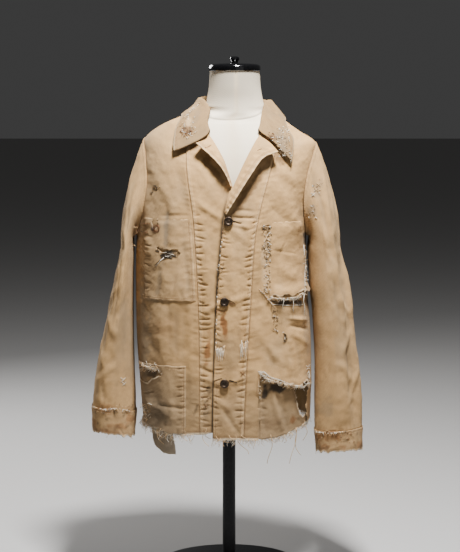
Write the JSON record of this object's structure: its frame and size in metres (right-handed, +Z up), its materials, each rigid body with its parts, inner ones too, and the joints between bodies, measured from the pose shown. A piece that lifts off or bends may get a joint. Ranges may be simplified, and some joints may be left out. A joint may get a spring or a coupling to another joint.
{
  "type": "patched boro jacket on a limbless dress form",
  "caption": "Torn, patched and mended tan cotton work jacket with collar, lapels and frayed hem, worn by a linen dress form with a capped neck on a round stand.",
  "frame": {"origin": "centre of the round stand's underside, on the floor", "axes": "+Z up along the pole; the jacket's front faces -Y and the wearer's left is +X"},
  "size_m": [0.585, 0.3, 1.1046],
  "materials": {
    "tan_cotton": "matte",
    "patch_cotton": "matte",
    "worn_cotton": "matte",
    "raw_thread": "matte",
    "pocketing": "matte",
    "form_linen": "matte",
    "button_metal": "satin",
    "cap_black": "gloss",
    "stand_black": "satin"
  },
  "bodies": {
    "root": {"back": "tan_cotton", "side_front_right": "tan_cotton", "side_front_left": "tan_cotton", "centre_front_right": "tan_cotton", "centre_front_left": "tan_cotton", "lapel_right": "tan_cotton", "lapel_left": "tan_cotton", "collar": "tan_cotton", "sleeve_top_right": "tan_cotton", "sleeve_under_right": "tan_cotton", "sleeve_top_left": "tan_cotton", "sleeve_under_left": "tan_cotton", "cuff_right": "worn_cotton", "cuff_left": "worn_cotton", "lower_pocket_right": "worn_cotton", "underlay_left": "worn_cotton", "chest_patch_right": "patch_cotton", "chest_patch_left": "patch_cotton", "fray_right": "raw_thread", "fray_left": "raw_thread", "fray_underlay": "raw_thread", "fray_back": "raw_thread", "pocket_bag_right": "pocketing", "dress_form": "form_linen", "button_1": "button_metal", "button_2": "button_metal", "button_3": "button_metal", "neck_cap": "cap_black", "cap_knob": "cap_black", "foot_plate": "stand_black", "stand_pole": "stand_black", "stand_base": "stand_black"}
  },
  "joints": []
}
